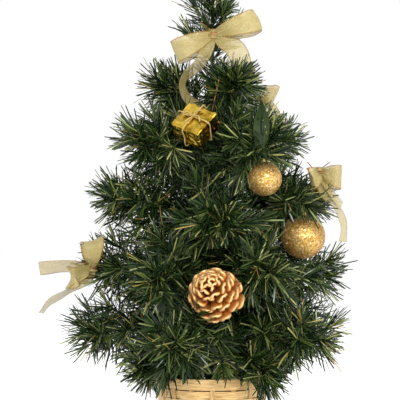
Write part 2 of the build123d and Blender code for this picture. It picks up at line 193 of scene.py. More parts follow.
# Balls: the flakes on a ball of this radius, their size and rise, and the depth of the glued coat
FLAKE_COUNT = 2600
FLAKE_BALL = 0.015
FLAKE_SIZES = (0.00022, 0.00042)
FLAKE_RISE = 0.00018
COAT_DEPTH = 0.0006

# Pinecone: its scales in golden-angle order, and how far its axis leans from the CAD core's. Then
# three measures of a scale at the base, and their change up to the tip.
SCALE_COUNT = 52
GOLDEN_ANGLE = math.radians(137.508)
CONE_LEAN = (-0.20, 0.0, 0.30)
SCALE_LENGTH = (0.0225, -0.0105)
SCALE_WIDTH = (0.0135, -0.0042)
SCALE_ROOT = (0.005, -0.004)
SPINE_RADIUS = 0.0055
# Outline of a scale: the share of its length, of its width, and its rise there
SCALE_OUTLINE = [(0.0, 0.30, 0.0), (0.3, 0.52, 0.0), (0.55, 0.84, 0.01), (0.75, 1.0, 0.03),
                 (0.89, 0.90, 0.07), (0.97, 0.62, 0.12), (1.0, 0.28, 0.15)]

# Gift box
FOIL_CUTS = 13
FOIL_CREASES = 26
CORD_RADIUS = 0.0006
CORD_GAP = 0.0006
CORD_TWIST = 2 * math.pi / 0.004
CORD_LOBES = 0.3
# The gift wire: its radius, how far it bows to the back, and its curled ends, in millimetres from
# its lower end
HANG_RADIUS = 0.00035
HANG_BOW = 0.009
WIRE_CURLS = [(5, -5, 5), (9, -3, -3), (4, -8, -8)]

# Leaf: the blades' shift sideways, width and share of the length
LEAF_BLADES = [(0.0, 0.011, 1.0), (-0.003, 0.007, 0.9), (0.0035, 0.006, 0.96)]

# Camera: the width of what it sees at the trunk
CAMERA_PLACE = Vector((-0.0108, -1.55, 0.2416))
VIEW_WIDTH = 0.360

# Floor, and lights with their place, size and power
FLOOR_REACH = 6.0
LIT_PLACE = Vector((0, 0, 0.25))
LIGHTS = [("key", (0.25, -1.7, 0.75), 0.35, 17), ("fill", (1.4, -1.2, 0.6), 0.9, 7),
          ("back", (0.3, 1.6, 1.2), 0.8, 9)]


# ---------------------------------------------------------------- materials

class Net:
    """A Principled material and short ways to add nodes to it."""

    def __init__(self, name, **sockets):
        self.material = bpy.data.materials.new(name)
        self.material.use_nodes = True
        self.tree = self.material.node_tree
        self.shader = self.tree.nodes["Principled BSDF"]
        for socket, value in sockets.items():
            self.shader.inputs[socket.replace("_", " ")].default_value = value

    def node(self, kind, inputs=None, **settings):
        made = self.tree.nodes.new("ShaderNode" + kind)
        for key, value in settings.items():
            setattr(made, key, value)
        for key, value in (inputs or {}).items():
            if isinstance(value, bpy.types.NodeSocket):
                self.tree.links.new(value, made.inputs[key])
            else:
                made.inputs[key].default_value = value
        return made

    def place(self):
        return self.node("TexCoord").outputs["Object"]

    def stretched(self, scale):
        return self.node("Mapping", {"Vector": self.place(), "Scale": scale}).outputs["Vector"]

    def noise(self, scale, detail=3.0, where=None, rough=0.5):
        inputs = {"Vector": where or self.place(), "Scale": scale, "Detail": detail, "Roughness": rough}
        return self.node("TexNoise", inputs).outputs["Fac"]

    def attribute(self, name):
        return self.node("Attribute", attribute_name=name).outputs["Fac"]

    def maths(self, operation, first, second=0.5):
        return self.node("Math", {0: first, 1: second}, operation=operation).outputs[0]

    def ramp(self, factor, stops, smooth=True):
        made = self.node("ValToRGB", {"Fac": factor})
        made.color_ramp.interpolation = "LINEAR" if smooth else "CONSTANT"
        elements = made.color_ramp.elements
        while len(elements) < len(stops):
            elements.new(0.5)
        for element, (at, colour) in zip(elements, stops):
            element.position = at
            element.color = (*colour, 1.0)
        return made.outputs["Color"]

    def mix(self, factor, first, second, blend="MIX"):
        made = self.node("Mix", data_type="RGBA", blend_type=blend)
        for index, value in ((0, factor), (6, first), (7, second)):
            if isinstance(value, bpy.types.NodeSocket):
                self.tree.links.new(value, made.inputs[index])
            else:
                made.inputs[index].default_value = value if index == 0 else (*value, 1.0)
        return made.outputs[2]

    def use(self, socket, output):
        self.tree.links.new(output, self.shader.inputs[socket])
        return self

    def bump(self, height, strength, distance):
        made = self.node("Bump", {"Height": height, "Strength": strength, "Distance": distance})
        return self.use("Normal", made.outputs["Normal"])


def needle_material():
    """Glossy PVC strips, each in one of several greens; the near-black ones are partly painted shade and the
    palest partly painted glints.
    """
    net = Net("needle_pvc", Roughness=0.27, Specular_IOR_Level=0.42)
    tone = net.attribute("tone")
    # The near-black stops are partly painted shade; the stop at 0.93 and the pale needles near it are partly
    # painted glints.
    colour = net.ramp(tone, [
        (0.00, (0.003, 0.006, 0.002)),
        (0.30, (0.006, 0.020, 0.005)),
        (0.55, (0.026, 0.058, 0.011)),
        (0.80, (0.085, 0.132, 0.028)),
        (0.93, (0.400, 0.430, 0.150)),
        (0.975, (0.400, 0.270, 0.060)),
    ])
    streak = net.noise(900.0, 2.0)
    shading = net.ramp(streak, [(0.3, (0.3, 0.3, 0.3)), (0.7, (1, 1, 1))])
    net.use("Base Color", net.mix(0.35, colour, shading, "MULTIPLY"))
    net.bump(streak, 0.2, 0.0003)
    return net.material


def wire_material(name, dark, light):
    net = Net(name, Metallic=0.8, Roughness=0.42)
    patches = net.noise(500.0, 3.0)
    net.use("Base Color", net.ramp(patches, [(0.35, dark), (0.65, light)]))
    net.bump(net.noise(1500.0), 0.3, 0.0002)
    return net.material


def organza_material():
    """Sheer ribbon: fine threads both ways, a painted sparkle speckle, and a denser woven edge."""
    net = Net("organza_gold", Roughness=0.34, Alpha=0.52, Specular_IOR_Level=0.5, Sheen_Weight=0.1)
    across = net.attribute("across")
    along = net.attribute("along")
    edge = net.maths("ABSOLUTE", net.maths("SUBTRACT", across, 0.5))
    threads = net.maths("SINE", net.maths("MULTIPLY", along, 2 * math.pi / 0.0011))
    cross = net.maths("SINE", net.maths("MULTIPLY", across, 2 * math.pi * 18.0))
    weave = net.maths("MULTIPLY_ADD", net.maths("ADD", threads, cross), 0.14)
    body = net.mix(net.noise(160.0, 4.0), (0.34, 0.23, 0.034), (0.58, 0.46, 0.14))
    threaded = net.mix(weave, body, (0.74, 0.64, 0.30))
    # Fine light and dark speckle multiplied into the colour is painted sparkle.
    painted_sparkle = net.ramp(net.noise(1100.0, 2.0), [(0.40, (0.70, 0.66, 0.52)), (0.60, (1, 1, 1))])
    threaded = net.mix(0.8, threaded, painted_sparkle, "MULTIPLY")
    border = net.ramp(edge, [(0.425, (0, 0, 0)), (0.45, (1, 1, 1))])
    net.use("Base Color", net.mix(border, threaded, (0.42, 0.26, 0.06)))
    net.bump(net.maths("ADD", threads, cross), 0.25, 0.0002)
    return net.material


def glitter_material():
    """Gold glitter: every flake its own shade; the almost white ones are painted glints."""
    net = Net("glitter_gold", Metallic=0.75, Roughness=0.32)
    shade = net.attribute("tone")
    # The last, almost white stop is a painted glint colour.
    colour = net.ramp(shade, [
        (0.0, (0.30, 0.15, 0.03)), (0.35, (0.58, 0.34, 0.07)),
        (0.70, (0.82, 0.56, 0.20)), (0.86, (1.0, 0.95, 0.82))])
    net.use("Base Color", colour)
    cells = net.node("TexVoronoi", {"Vector": net.place(), "Scale": 1600.0}).outputs["Color"]
    net.bump(cells, 0.6, 0.0004)
    return net.material


def gold_metal_material():
    net = Net("cap_gold", Metallic=1.0, Roughness=0.28)
    tarnish = net.noise(300.0, 4.0)
    net.use("Base Color", net.ramp(tarnish, [(0.3, (0.62, 0.42, 0.14)), (0.7, (0.86, 0.66, 0.30))]))
    net.bump(net.noise(1200.0), 0.15, 0.0001)
    return net.material


def cone_material():
    """Gold spray on the scales' rims over copper, lighter still as painted highlights on the rims, and
    near-black painted shade deep between them.
    """
    net = Net("cone_gold", Metallic=0.45, Roughness=0.4)
    rim = net.attribute("tone")
    speck = net.noise(700.0, 4.0)
    mixed = net.maths("ADD", rim, net.maths("MULTIPLY", net.maths("SUBTRACT", speck, 0.5), 0.35))
    # Near-black at the root is painted shade; the palest gold at the tip is partly painted highlight.
    net.use("Base Color", net.ramp(mixed, [
        (0.0, (0.09, 0.020, 0.004)), (0.35, (0.36, 0.100, 0.014)),
        (0.70, (0.60, 0.215, 0.040)), (0.97, (0.86, 0.54, 0.22))]))
    net.bump(speck, 0.5, 0.0005)
    return net.material


def foil_material():
    net = Net("foil_gold", Metallic=1.0, Roughness=0.14)
    # Dark and light gold patches are painted reflections.
    painted_reflections = net.noise(120.0, 4.0)
    net.use("Base Color", net.ramp(painted_reflections, [(0.35, (0.26, 0.15, 0.008)), (0.65, (0.78, 0.52, 0.07))]))
    net.bump(net.noise(190.0, 3.0, rough=0.6), 0.4, 0.0008)
    return net.material


def cord_material():
    net = Net("cord_gold", Metallic=0.3, Roughness=0.5)
    twist = net.node("TexWave", {"Vector": net.place(), "Scale": 500.0, "Distortion": 2.0})
    strand = twist.outputs["Fac"]
    net.use("Base Color", net.ramp(strand, [(0.2, (0.30, 0.19, 0.04)), (0.8, (0.78, 0.60, 0.22))]))
    net.bump(strand, 0.6, 0.0004)
    return net.material


def leaf_material():
    net = Net("leaf_pvc", Roughness=0.5, Specular_IOR_Level=0.2)
    across = net.attribute("across")
    streaks = net.noise(9.0, 4.0, net.node("CombineXYZ", {"X": across}).outputs["Vector"])
    net.use("Base Color", net.ramp(streaks, [
        (0.32, (0.006, 0.014, 0.003)), (0.50, (0.018, 0.038, 0.008)), (0.68, (0.050, 0.080, 0.020))]))
    net.bump(streaks, 0.5, 0.0006)
    return net.material


def bamboo_material(name, scale, shade=1.0):
    """Split bamboo: fine fibres along the strip, and honey patches."""
    net = Net(name, Roughness=0.42, Specular_IOR_Level=0.5)
    fibre = net.noise(1.0, 6.0, net.stretched(scale), 0.6)
    patch = net.noise(45.0, 3.0)
    tones = [(0.26, (0.30, 0.15, 0.04)), (0.42, (0.60, 0.37, 0.13)), (0.58, (0.84, 0.61, 0.28)),
             (0.75, (0.94, 0.77, 0.45))]
    base = net.ramp(fibre, [(at, tuple(shade * part for part in colour)) for at, colour in tones])
    worn = net.ramp(patch, [(0.35, (0.80, 0.66, 0.46)), (0.65, (1, 0.98, 0.93))])
    net.use("Base Color", net.mix(0.5, base, worn, "MULTIPLY"))
    net.bump(fibre, 0.5, 0.0005)
    return net.material


def dull_material(name, low, high, scale, bump=0.3, rough=0.8):
    net = Net(name, Roughness=rough)
    patch = net.noise(scale, 5.0)
    net.use("Base Color", net.ramp(patch, [(0.35, low), (0.65, high)]))
    net.bump(patch, bump, 0.001)
    return net.material


MATERIALS = {
    "needles": needle_material(),
    "branch_wire": wire_material("branch_wire", (0.010, 0.022, 0.012), (0.06, 0.09, 0.06)),
    "tie_wire": wire_material("tie_wire", (0.28, 0.06, 0.02), (0.62, 0.26, 0.10)),
    "organza": organza_material(),
    "glitter": glitter_material(),
    "gold_metal": gold_metal_material(),
    "cone_gold": cone_material(),
    "foil": foil_material(),
    "gold_cord": cord_material(),
    "leaf": leaf_material(),
    "bamboo": bamboo_material("bamboo_strip", (90.0, 90.0, 1400.0)),
    "bamboo_upright": bamboo_material("bamboo_upright", (900.0, 900.0, 60.0), 0.85),
    "liner": dull_material("liner_plastic", (0.030, 0.022, 0.015), (0.060, 0.045, 0.030), 200.0),
    "plaster": dull_material("plaster", (0.46, 0.44, 0.40), (0.62, 0.60, 0.55), 90.0, 0.6),
    "pole_wood": dull_material("pole_wood", (0.10, 0.055, 0.025), (0.20, 0.12, 0.06), 140.0),
    "trunk_tape": dull_material("trunk_tape", (0.012, 0.026, 0.010), (0.030, 0.055, 0.020), 300.0, 0.5, 0.6),
}


# ---------------------------------------------------------------- mesh helpers

def make_object(name, vertices, faces, material, body, node=None, attributes=None, smooth=True):
    """A mesh that rides on a body and, where a node is given, stands for it."""
    mesh = bpy.data.meshes.new(name)
    mesh.from_pydata([tuple(v) for v in vertices], [], faces)
    for label, values in (attributes or {}).items():
        layer = mesh.attributes.new(label, "FLOAT", "POINT")
        layer.data.foreach_set("value", np.asarray(values, float).ravel())
    if smooth:
        mesh.polygons.foreach_set("use_smooth", [True] * len(mesh.polygons))
    mesh.materials.append(MATERIALS[material])
    mesh.update()
    made = bpy.data.objects.new(name, mesh)
    bpy.context.scene.collection.objects.link(made)
    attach(made, body)
    if node:
        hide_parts(node)
    return made


def solid_parts(node):
    """The separate solids of a CAD node, each as an array of its corners."""
    work = bmesh.new()
    work.from_mesh(frame["nodes"][node].data)
    bmesh.ops.remove_doubles(work, verts=work.verts, dist=1e-6)
    seen, parts = set(), []
    for start in work.verts:
        if start in seen:
            continue
        stack, part = [start], []
        seen.add(start)
        while stack:
            vertex = stack.pop()
            part.append(tuple(vertex.co))
            for edge in vertex.link_edges:
                other = edge.other_vert(vertex)
                if other not in seen:
                    seen.add(other)
                    stack.append(other)
        parts.append(np.array(part))
    work.free()
    return parts


def long_axis(points):
    centred = points - points.mean(0)
    return np.linalg.svd(centred, full_matrices=False)[2][0]


def end_centre(points, direction):
    """Middle of the end face of a solid, in a direction."""
    reach = points @ direction
    return points[reach > reach.max() - 0.0008].mean(0)


def smooth_path(points, steps):
    """Catmull-Rom curve through points, as an array."""
    points = [np.asarray(p, float) for p in points]
    ends = [2 * points[0] - points[1], *points, 2 * points[-1] - points[-2]]
    made = []
    for a, b, c, d in zip(ends, ends[1:], ends[2:], ends[3:]):
        for step in range(steps):
            t = step / steps
            made.append(0.5 * (2 * b + (c - a) * t + (2 * a - 5 * b + 4 * c - d) * t * t
                               + (3 * b - a - 3 * c + d) * t ** 3))
    made.append(points[-1])
    return np.array(made)


def unit(vectors):
    return vectors / np.maximum(np.linalg.norm(vectors, axis=-1, keepdims=True), 1e-12)


def tube(path, radius, sides=6, twist=0.0, lobes=0.0):
    """Closed tube along a path; lobes give it the outline of two twisted strands."""
    path = np.asarray(path)
    tangent = unit(np.gradient(path, axis=0))
    helper = np.array([0.0, 0.0, 1.0]) if abs(tangent[0][2]) < 0.9 else np.array([1.0, 0.0, 0.0])
    across = unit(np.cross(tangent, helper))
    above = np.cross(across, tangent)
    walked = np.concatenate([[0], np.cumsum(np.linalg.norm(np.diff(path, axis=0), axis=1))])
    vertices, faces = [], []
    for i, centre in enumerate(path):
        for j in range(sides):
            angle = 2 * math.pi * j / sides
            swell = radius * (1 - lobes + lobes * abs(math.cos(angle - twist * walked[i])))
            vertices.append(centre + swell * (math.cos(angle) * across[i] + math.sin(angle) * above[i]))
    for i in range(len(path) - 1):
        for j in range(sides):
            k = (j + 1) % sides
            faces.append((i * sides + j, i * sides + k, (i + 1) * sides + k, (i + 1) * sides + j))
    faces.append(tuple(reversed(range(sides))))
    last = (len(path) - 1) * sides
    faces.append(tuple(last + j for j in range(sides)))
    return vertices, faces


def sheet_faces(rows, stride, flip=False):
    """Faces of a closed sheet: rows of corners on its one side, the same on its other, and the rim."""
    layer = rows * stride
    faces = []
    for i in range(rows - 1):
        for j in range(stride - 1):
            a = i * stride + j
            b, c, d = a + 1, a + stride + 1, a + stride
            faces.append((a, b, c, d))
            faces.append((layer + a, layer + d, layer + c, layer + b))
    rim = list(range(stride)) + [i * stride + stride - 1 for i in range(1, rows)]
    rim += [(rows - 1) * stride + j for j in range(stride - 2, -1, -1)]
    rim += [i * stride for i in range(rows - 2, 0, -1)]
    faces.extend((a, layer + a, layer + b, b) for a, b in zip(rim, rim[1:] + rim[:1]))
    return [tuple(reversed(face)) for face in faces] if flip else faces


def joined(pieces):
    """Several (vertices, faces) as one."""
    vertices, faces = [], []
    for some, more in pieces:
        start = len(vertices)
        vertices.extend(some)
        faces.extend(tuple(start + i for i in face) for face in more)
    return vertices, faces


# ---------------------------------------------------------------- needles and branches


def needles_along(path, rng, density=1.0, spread=NEEDLE_ANGLES, length=NEEDLE_LENGTH):
    """Closed thin strips that spring from a wire, and lean forward towards its tip."""
    steps = np.linalg.norm(np.diff(path, axis=0), axis=1)
    walked = np.concatenate([[0], np.cumsum(steps)])
    total = walked[-1]
    count = int(total * NEEDLES_PER_METRE * density)
    along = np.sort(rng.uniform(0, total, count))
    root = np.stack([np.interp(along, walked, path[:, i]) for i in range(3)], 1)
    tangents = unit(np.gradient(path, axis=0))
    tangent = unit(np.stack([np.interp(along, walked, tangents[:, i]) for i in range(3)], 1))
    helper = np.where(np.abs(tangent[:, 2:3]) < 0.9, [[0.0, 0.0, 1.0]], [[1.0, 0.0, 0.0]])
    side = unit(np.cross(tangent, helper))
    over = np.cross(side, tangent)
    from_tip = np.clip((total - along) / TIP_ZONE, 0, 1)
    angle = np.radians(spread[1] + (spread[0] - spread[1]) * from_tip + rng.normal(0, ANGLE_SCATTER, count))
    turn = rng.uniform(0, 2 * math.pi, count)
    outward = np.cos(turn)[:, None] * side + np.sin(turn)[:, None] * over
    heading = np.cos(angle)[:, None] * tangent + np.sin(angle)[:, None] * outward
    scatter = rng.normal(0, NEEDLE_CURVE, (count, 3))
    bent = unit(heading + NEEDLE_CURVE * tangent + scatter - NEEDLE_DROOP * UP)
    size = length * rng.uniform(*LENGTH_RANGE, count)[:, None]
    flat = unit(np.cross(heading, unit(rng.normal(0, 1, (count, 3)))))
    width = NEEDLE_WIDTH * rng.uniform(*WIDTH_RANGE, count)[:, None] / 2
    vertices = np.empty((count, NEEDLE_CORNERS, 3))
    for ring, (at, share) in enumerate(NEEDLE_RINGS):
        centre = root + size * (heading * at * (1 - at / 2) + bent * at * at / 2)
        direction = unit(heading * (1 - at) + bent * at)
        across = unit(flat - direction * (flat * direction).sum(1, keepdims=True))
        rise = np.cross(across, direction) * NEEDLE_THICKNESS
        vertices[:, ring * 3] = centre + across * width * share
        vertices[:, ring * 3 + 1] = centre - across * width * share
        vertices[:, ring * 3 + 2] = centre + rise
    vertices[:, -1] = root + size * (heading + bent) / 2
    # Tones lean dark, partly as painted shade; the pale share is partly painted glints.
    tone = np.clip(rng.beta(1.5, 1.9, count), 0, PALE_AND_GLINT_TONES[0])
    strand = rng.uniform(0, 1, count)
    tone = np.where(strand > 1 - PALE_AND_GLINT_SHARE, rng.uniform(*PALE_AND_GLINT_TONES, count), tone)
    tone = np.where(strand > 1 - TAN_SHARE, TAN_TONE, tone)
    return vertices, tone


def left_out(needles):
    """Needles that cover a ball, the gift box or the middle of the basket's rim, or reach too far out."""
    x, y, z = np.moveaxis(needles, 2, 0)
    nearest, furthest = CAD_BOX[0][1] - OUTREACH, CAD_BOX[1][1] + OUTREACH
    hidden = ((y < nearest) | (y > furthest)).any(1)
    for node in CLEARED:
        low, high = (np.array(corner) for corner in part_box(node))
        centre, radius = (low + high) / 2, CLEAR_SHARE * (high[0] - low[0]) / 2
        across, above = x - centre[0] + CLEAR_LEFT * radius, z - centre[2] + CLEAR_DOWN * radius
        hidden |= ((np.hypot(across, above) < radius) & (y < centre[1])).any(1)
    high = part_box("basket_rim_outer")[1]
    over_rim = ((abs(x) < RIM_SHARE * high.x) & (y < 0) & (z < high.z - 0.001)).any(1)
    return hidden | over_rim & (np.arange(len(needles)) % RIM_NEEDLES > 0)


def needle_object(name, runs, seed, body, node, density=1.0, **shape):
    """All the needles of one branch as one piece."""
    rng = np.random.default_rng(seed)
    parts = [needles_along(path, rng, density, **shape) for path in runs]
    needles, tone = (np.concatenate(some) for some in zip(*parts))
    shown = ~left_out(needles)
    vertices = needles[shown].reshape(-1, 3)
    tone = np.repeat(tone[shown], NEEDLE_CORNERS)
    starts = range(0, len(vertices), NEEDLE_CORNERS)
    faces = [tuple(start + i for i in face) for start in starts for face in RING_FACES]
    make_object(name, vertices, faces, "needles", body, node, attributes={"tone": tone}, smooth=False)


def bowed_path(start, end, rng, lift=0.02, steps=8):
    """A hand-bent wire: nearly straight, rising a little towards its tip."""
    start, end = np.asarray(start), np.asarray(end)
    reach = end - start
    length = np.linalg.norm(reach)
    sag = np.array([0, 0, -lift * length])
    sway = rng.normal(0, 0.012 * length, 3)
    points = [start, start + reach * 0.35 + sag + sway, start + reach * 0.72 + sag * 0.8, end]
    return smooth_path(points, steps)


def branch_runs(node, rng):
    """Wires of a branch: the main one, its side twigs, and short tufts above and below."""
    hinge = np.array(HINGES[BODY_OF[node]])
    parts = solid_parts(node)
    parts.sort(key=lambda part: np.linalg.norm(part - hinge, axis=1).min())
    main = parts[0]
    outward = long_axis(main)
    outward = outward * np.sign((main.mean(0) - hinge) @ outward)
    tip = end_centre(main, outward)
    main_path = bowed_path(hinge, tip - outward * TIP_ROOM, rng)
    runs = [main_path]
    for part in parts[1:]:
        direction = long_axis(part)
        direction = direction * np.sign((part.mean(0) - hinge) @ direction)
        end = end_centre(part, direction)
        nearest = part[np.linalg.norm(np.cross(part - hinge, outward), axis=1).argmin()]
        root = main_path[np.linalg.norm(main_path - nearest, axis=1).argmin()]
        runs.append(bowed_path(root, end - direction * TIP_ROOM, rng, 0.03))
    reach = np.linalg.norm(tip - hinge)
    sideways = np.cross(outward, UP)
    for at, rise, lean, share in FILLERS:
        root = main_path[int(at * (len(main_path) - 1))]
        heading = unit(outward * 0.8 + UP * rise + sideways * (lean + rng.normal(0, 0.12)))
        length = min(LONGEST_FILLER, share * reach) * rng.uniform(0.85, 1.1)
        runs.append(bowed_path(root, root + heading * length, rng, 0.0, 4))
    for beside, start, end in EXTRA_TWIGS.get(node, []):
        low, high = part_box(beside)
        centre = np.array((low + high) / 2)
        first = centre + np.array(start) * MM
        root = main_path[np.linalg.norm(main_path - first, axis=1).argmin()]
        runs.append(smooth_path([root, first, centre + np.array(end) * MM], 5))
    return runs


def twisted_wires(runs, twig_radius=TWIG_WIRE):
    """Two twisted strands along every run, of which the first is the main wire."""
    tubes = []
    for number, path in enumerate(runs):
        fine = smooth_path(path[::2] if len(path) > 12 else path, 6)
        tubes.append(tube(fine, twig_radius if number else MAIN_WIRE, 8, WIRE_TWIST, WIRE_LOBES))
    return joined(tubes)


def make_branches():
    nodes = sorted(node for node in frame["nodes"] if node in HINGES and node.startswith("branch"))
    for number, node in enumerate(nodes):
        runs = branch_runs(node, np.random.default_rng(100 + number))
        density = LOWEST_DENSITY if number < LOWEST_BRANCHES else 1.0
        needle_object(node + "_needles", runs, 500 + number, node, node, density)
        make_object(node + "_wire", *twisted_wires(runs), "branch_wire", node)


def make_leader():
    low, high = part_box("leader")
    base = np.array([0, 0, low.z])
    top = np.array([0, 0, high.z - 0.006])
    rng = np.random.default_rng(77)
    runs = [smooth_path([base, base * 0.5 + top * 0.5 + [0.001, 0, 0], top], 12)]
    for at, turn, length in LEADER_TWIGS:
        root = base + (top - base) * at
        heading = unit(np.array([math.cos(math.radians(turn)), math.sin(math.radians(turn)), 1.1]))
        runs.append(bowed_path(root, root + heading * length, rng, 0.0, 5))
    needle_object("leader_needles", runs, 900, "leader", "leader", spread=LEADER_ANGLES)
    make_object("leader_wire", *twisted_wires(runs, MAIN_WIRE), "branch_wire", "leader")


def make_trunk_needles():
    """Needles trapped in the wrapping along the trunk."""
    low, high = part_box("trunk_tape")
    turns = np.linspace(0, 2 * math.pi * TRUNK_TURNS, 240)
    height = np.linspace(low.z + 0.035, high.z - 0.004, 240)
    path = np.stack([0.0045 * np.cos(turns), 0.0045 * np.sin(turns), height], 1)
    needle_object("trunk_needles", [path], 31, "stand", None, density=1.1, spread=TRUNK_ANGLES,
                  length=TRUNK_NEEDLE_LENGTH)


# ---------------------------------------------------------------- ribbons


def ribbon_strip(points, sides, widths, rng, steps=9, across=10, curl=0.0006):
    """One run of ribbon: a closed thin strip along points, with its width along sides.

    Gives its vertices and faces, where each vertex is across and along it, and its length.
    """
    path = smooth_path(points, steps)
    side = unit(smooth_path(sides, steps))
    width = smooth_path([(w, 0, 0) for w in widths], steps)[:, 0]
    tangent = unit(np.gradient(path, axis=0))
    side = unit(side - tangent * (side * tangent).sum(1, keepdims=True))
    normal = np.cross(side, tangent)
    walked = np.concatenate([[0], np.cumsum(np.linalg.norm(np.diff(path, axis=0), axis=1))])
    phase = rng.uniform(0, 6.3, 3)
    rows, column = len(path), np.linspace(-0.5, 0.5, across + 1)
    pinch = np.clip(1 - width / RIBBON_WIDTH, 0, 1)
    middle = np.empty((rows, across + 1, 3))
    for j, u in enumerate(column):
        folds = np.sin(u * FOLD_TURN + phase[0]) * FOLD_DEPTH * pinch
        ripple = sum(np.sin(walked * count + start + u * lean)
                     for (count, lean), start in zip(RIPPLES, phase[1:]))
        cup = (u * u * 4 - 0.4) * 1.5
        middle[:, j] = path + side * (u * width)[:, None] + normal * (folds + (ripple + cup) * curl)[:, None]
    offset = normal[:, None, :] * RIBBON_THICKNESS / 2
    vertices = np.concatenate([(middle + offset).reshape(-1, 3), (middle - offset).reshape(-1, 3)])
    over = np.tile(column + 0.5, rows * 2)
    along = np.tile(np.repeat(walked, across + 1), 2)
    return vertices, sheet_faces(rows, across + 1), over, along, walked[-1]


def knot_of(node):
    """Middle of a bow's knot, the smallest solid of its node."""
    return min(solid_parts(node), key=lambda part: np.ptp(part, axis=0).max()).mean(0)


def loop_strip(knot, tip, width_way, rng):
    """Ribbon from the knot out to the loop's tip and back behind itself."""
    reach = np.array(tip) * MM
    width_way = np.array(width_way)
    start_way = unit(np.cross(reach, FRONT))
    start_way = start_way * np.sign(start_way @ width_way)
    puff = FRONT * LOOP_PUFF
    sink = start_way * -0.002
    points = [knot + FRONT * 0.002, knot + reach * 0.38 + puff, knot + reach * 0.80 + puff * 1.1,
              knot + reach * 1.04, knot + reach * 0.82 - puff * 0.8 + sink,
              knot + reach * 0.40 - puff * 0.5 + sink, knot - FRONT * 0.001]
    mid_way = unit(start_way + width_way)
    ways = [start_way, mid_way, width_way, width_way, width_way, mid_way, start_way]
    return ribbon_strip(points, ways, LOOP_WIDTHS, rng)


def tail_strip(knot, path, edge_on, rng):
    """Ribbon that leaves the knot pinched and turns edge-on towards its end."""
    points = np.array([knot + FRONT * 0.001] + [knot + np.array(point) * MM for point in path])
    ways = []
    for share, direction in zip(np.linspace(0, 1, len(points)), unit(np.gradient(points, axis=0))):
        across = unit(np.cross(direction, FRONT))
        turn = edge_on * min(1.0, share * 2.5)
        ways.append(across * math.cos(turn) + FRONT * math.sin(turn))
    widths = TAIL_WIDTHS + TAIL_WIDTHS[-1:] * (len(points) - 3)
    return ribbon_strip(points, ways, widths, rng)


def make_bow(node, seed):
    """Two soft loops with a front and a back layer, two tails and the wrapped knot."""
    rng = np.random.default_rng(seed)
    knot = knot_of(node)
    strips = [loop_strip(knot, tip, width_way, rng) for tip, width_way in BOWS[node].loops]
    strips += [tail_strip(knot, path, edge_on, rng) for path, edge_on in BOWS[node].tails]
    across, deep = KNOT_RADII
    ring = [knot + np.array([across * math.cos(turn), deep * math.sin(turn), 0])
            for turn in np.linspace(0, 2 * math.pi, 9)]
    strips.append(ribbon_strip(ring, [UP] * 9, [KNOT_WIDTH] * 9, rng, 3, 6, 0.0002))
    starts = np.cumsum([0.0] + [strip[4] for strip in strips])
    vertices, faces = joined(strip[:2] for strip in strips)
    attributes = {"across": np.concatenate([strip[2] for strip in strips]),
                  "along": np.concatenate([strip[3] + start for strip, start in zip(strips, starts)])}
    made = make_object(node + "_ribbon", vertices, faces, "organza", BODY_OF[node], node,
                       attributes=attributes)


def make_tie(node, body, knot):
    """Copper twist wire round the knot, with its two cut ends showing."""
    low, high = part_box(node)
    middle = np.array((low + high) / 2)
    turns = np.linspace(0, 2 * math.pi * TIE_TURNS, 40)
    wrap = np.stack([knot[0] + (KNOT_RADII[0] + TIE_GAP) * np.cos(turns),
                     knot[1] + (KNOT_RADII[1] + TIE_GAP) * np.sin(turns),
                     knot[2] + np.linspace(-0.002, 0.002, 40)], 1)
    towards = unit(middle - knot)
    ends = [smooth_path([knot + towards * 0.003,
                         knot + towards * 0.004 + np.array([side * 0.004, -0.001, 0.006]),
                         knot + towards * 0.002 + np.array([side * 0.010, -0.003, 0.010])], 6)
            for side in (-1, 1)]
    stem = smooth_path([knot, middle, middle + towards * 0.006], 6)
    pieces = joined([tube(stem, 1.5 * TIE_RADIUS)] + [tube(path, TIE_RADIUS) for path in (wrap, *ends)])
    make_object(node + "_wire", *pieces, "tie_wire", body, node)


def make_bows():
    for number, node in enumerate(BOWS):
        make_bow(node, 11 + number)
        make_tie(node + "_tie", BODY_OF[node], knot_of(node))


# ---------------------------------------------------------------- balls

def make_ball(node, seed):
    """A moulded ball coated with glitter: a lumpy glued skin with thousands of flakes."""
    low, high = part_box(node)
    radius = (high.x - low.x) / 2
    centre = np.array([(low.x + high.x) / 2, (low.y + high.y) / 2, low.z + radius])
    rng = np.random.default_rng(seed)
    work = bmesh.new()
    bmesh.ops.create_icosphere(work, subdivisions=5, radius=1.0)
    directions = np.array([tuple(vertex.co) for vertex in work.verts])
    faces = [tuple(vertex.index for vertex in face.verts) for face in work.faces]
    work.free()
    skin = radius - COAT_DEPTH + rng.uniform(0, COAT_DEPTH / 2, len(directions))
    skin_tone = rng.uniform(0.0, 0.75, len(directions))
    count = int(FLAKE_COUNT * (radius / FLAKE_BALL) ** 2)
    spots = unit(rng.normal(0, 1, (count, 3)))
    lean = unit(spots + rng.normal(0, 0.35, (count, 3)))
    flat = unit(np.cross(lean, unit(rng.normal(0, 1, (count, 3)))))
    other = np.cross(lean, flat)
    size = rng.uniform(*FLAKE_SIZES, count)[:, None]
    root = centre + spots * (radius - 0.75 * COAT_DEPTH)
    # Flakes with tones above 0.86 take the almost white, painted glint colour.
    flake_tone = rng.uniform(0.15, 1.0, count)
    corners = []
    for angle in np.arange(5) * 2 * math.pi / 5:
        corners.append(root + (flat * math.cos(angle) + other * math.sin(angle)) * size + lean * FLAKE_RISE)
    corners.append(root - lean * 0.0001)
    flakes = np.stack(corners, 1)
    for base in range(len(directions), len(directions) + count * 6, 6):
        faces.append(tuple(base + j for j in range(5)))
        faces.extend((base + (j + 1) % 5, base + j, base + 5) for j in range(5))
    vertices = np.concatenate([directions * skin[:, None] + centre, flakes.reshape(-1, 3)])
    tone = np.concatenate([skin_tone, np.repeat(flake_tone, 6)])
    make_object(node + "_glitter", vertices, faces, "glitter", BODY_OF[node], node,
                attributes={"tone": tone}, smooth=False)


# ---------------------------------------------------------------- pinecone

